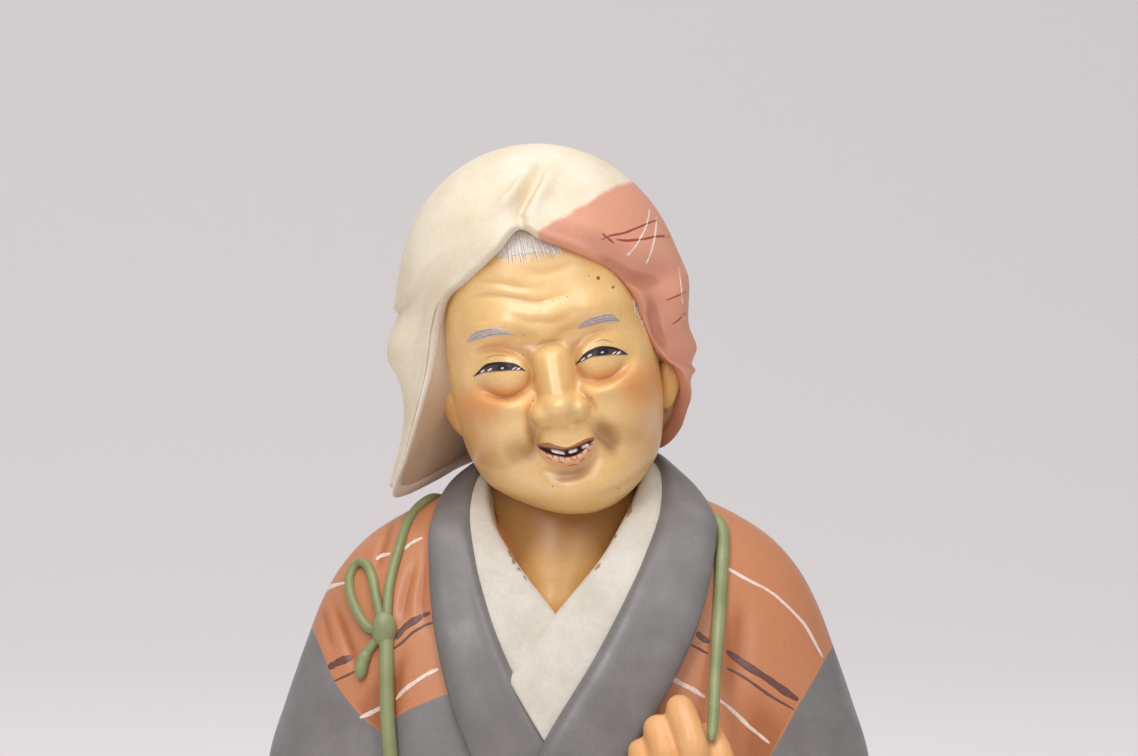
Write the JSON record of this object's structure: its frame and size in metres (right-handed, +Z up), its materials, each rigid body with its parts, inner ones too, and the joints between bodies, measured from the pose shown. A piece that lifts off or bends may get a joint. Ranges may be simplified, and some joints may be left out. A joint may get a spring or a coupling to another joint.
{
  "type": "hakata doll",
  "caption": "Bust of a painted clay doll: a smiling old figure in a headscarf and crossed robe, on a flat underside.",
  "frame": {"origin": "middle of the flat underside", "axes": "+Z up, the figure faces -Y, +X to the viewer's right"},
  "size_m": [0.095, 0.0593, 0.1182],
  "materials": {
    "painted_clay": "matte painted bisque"
  },
  "bodies": {
    "root": {"doll_bust": "painted_clay"}
  },
  "joints": []
}
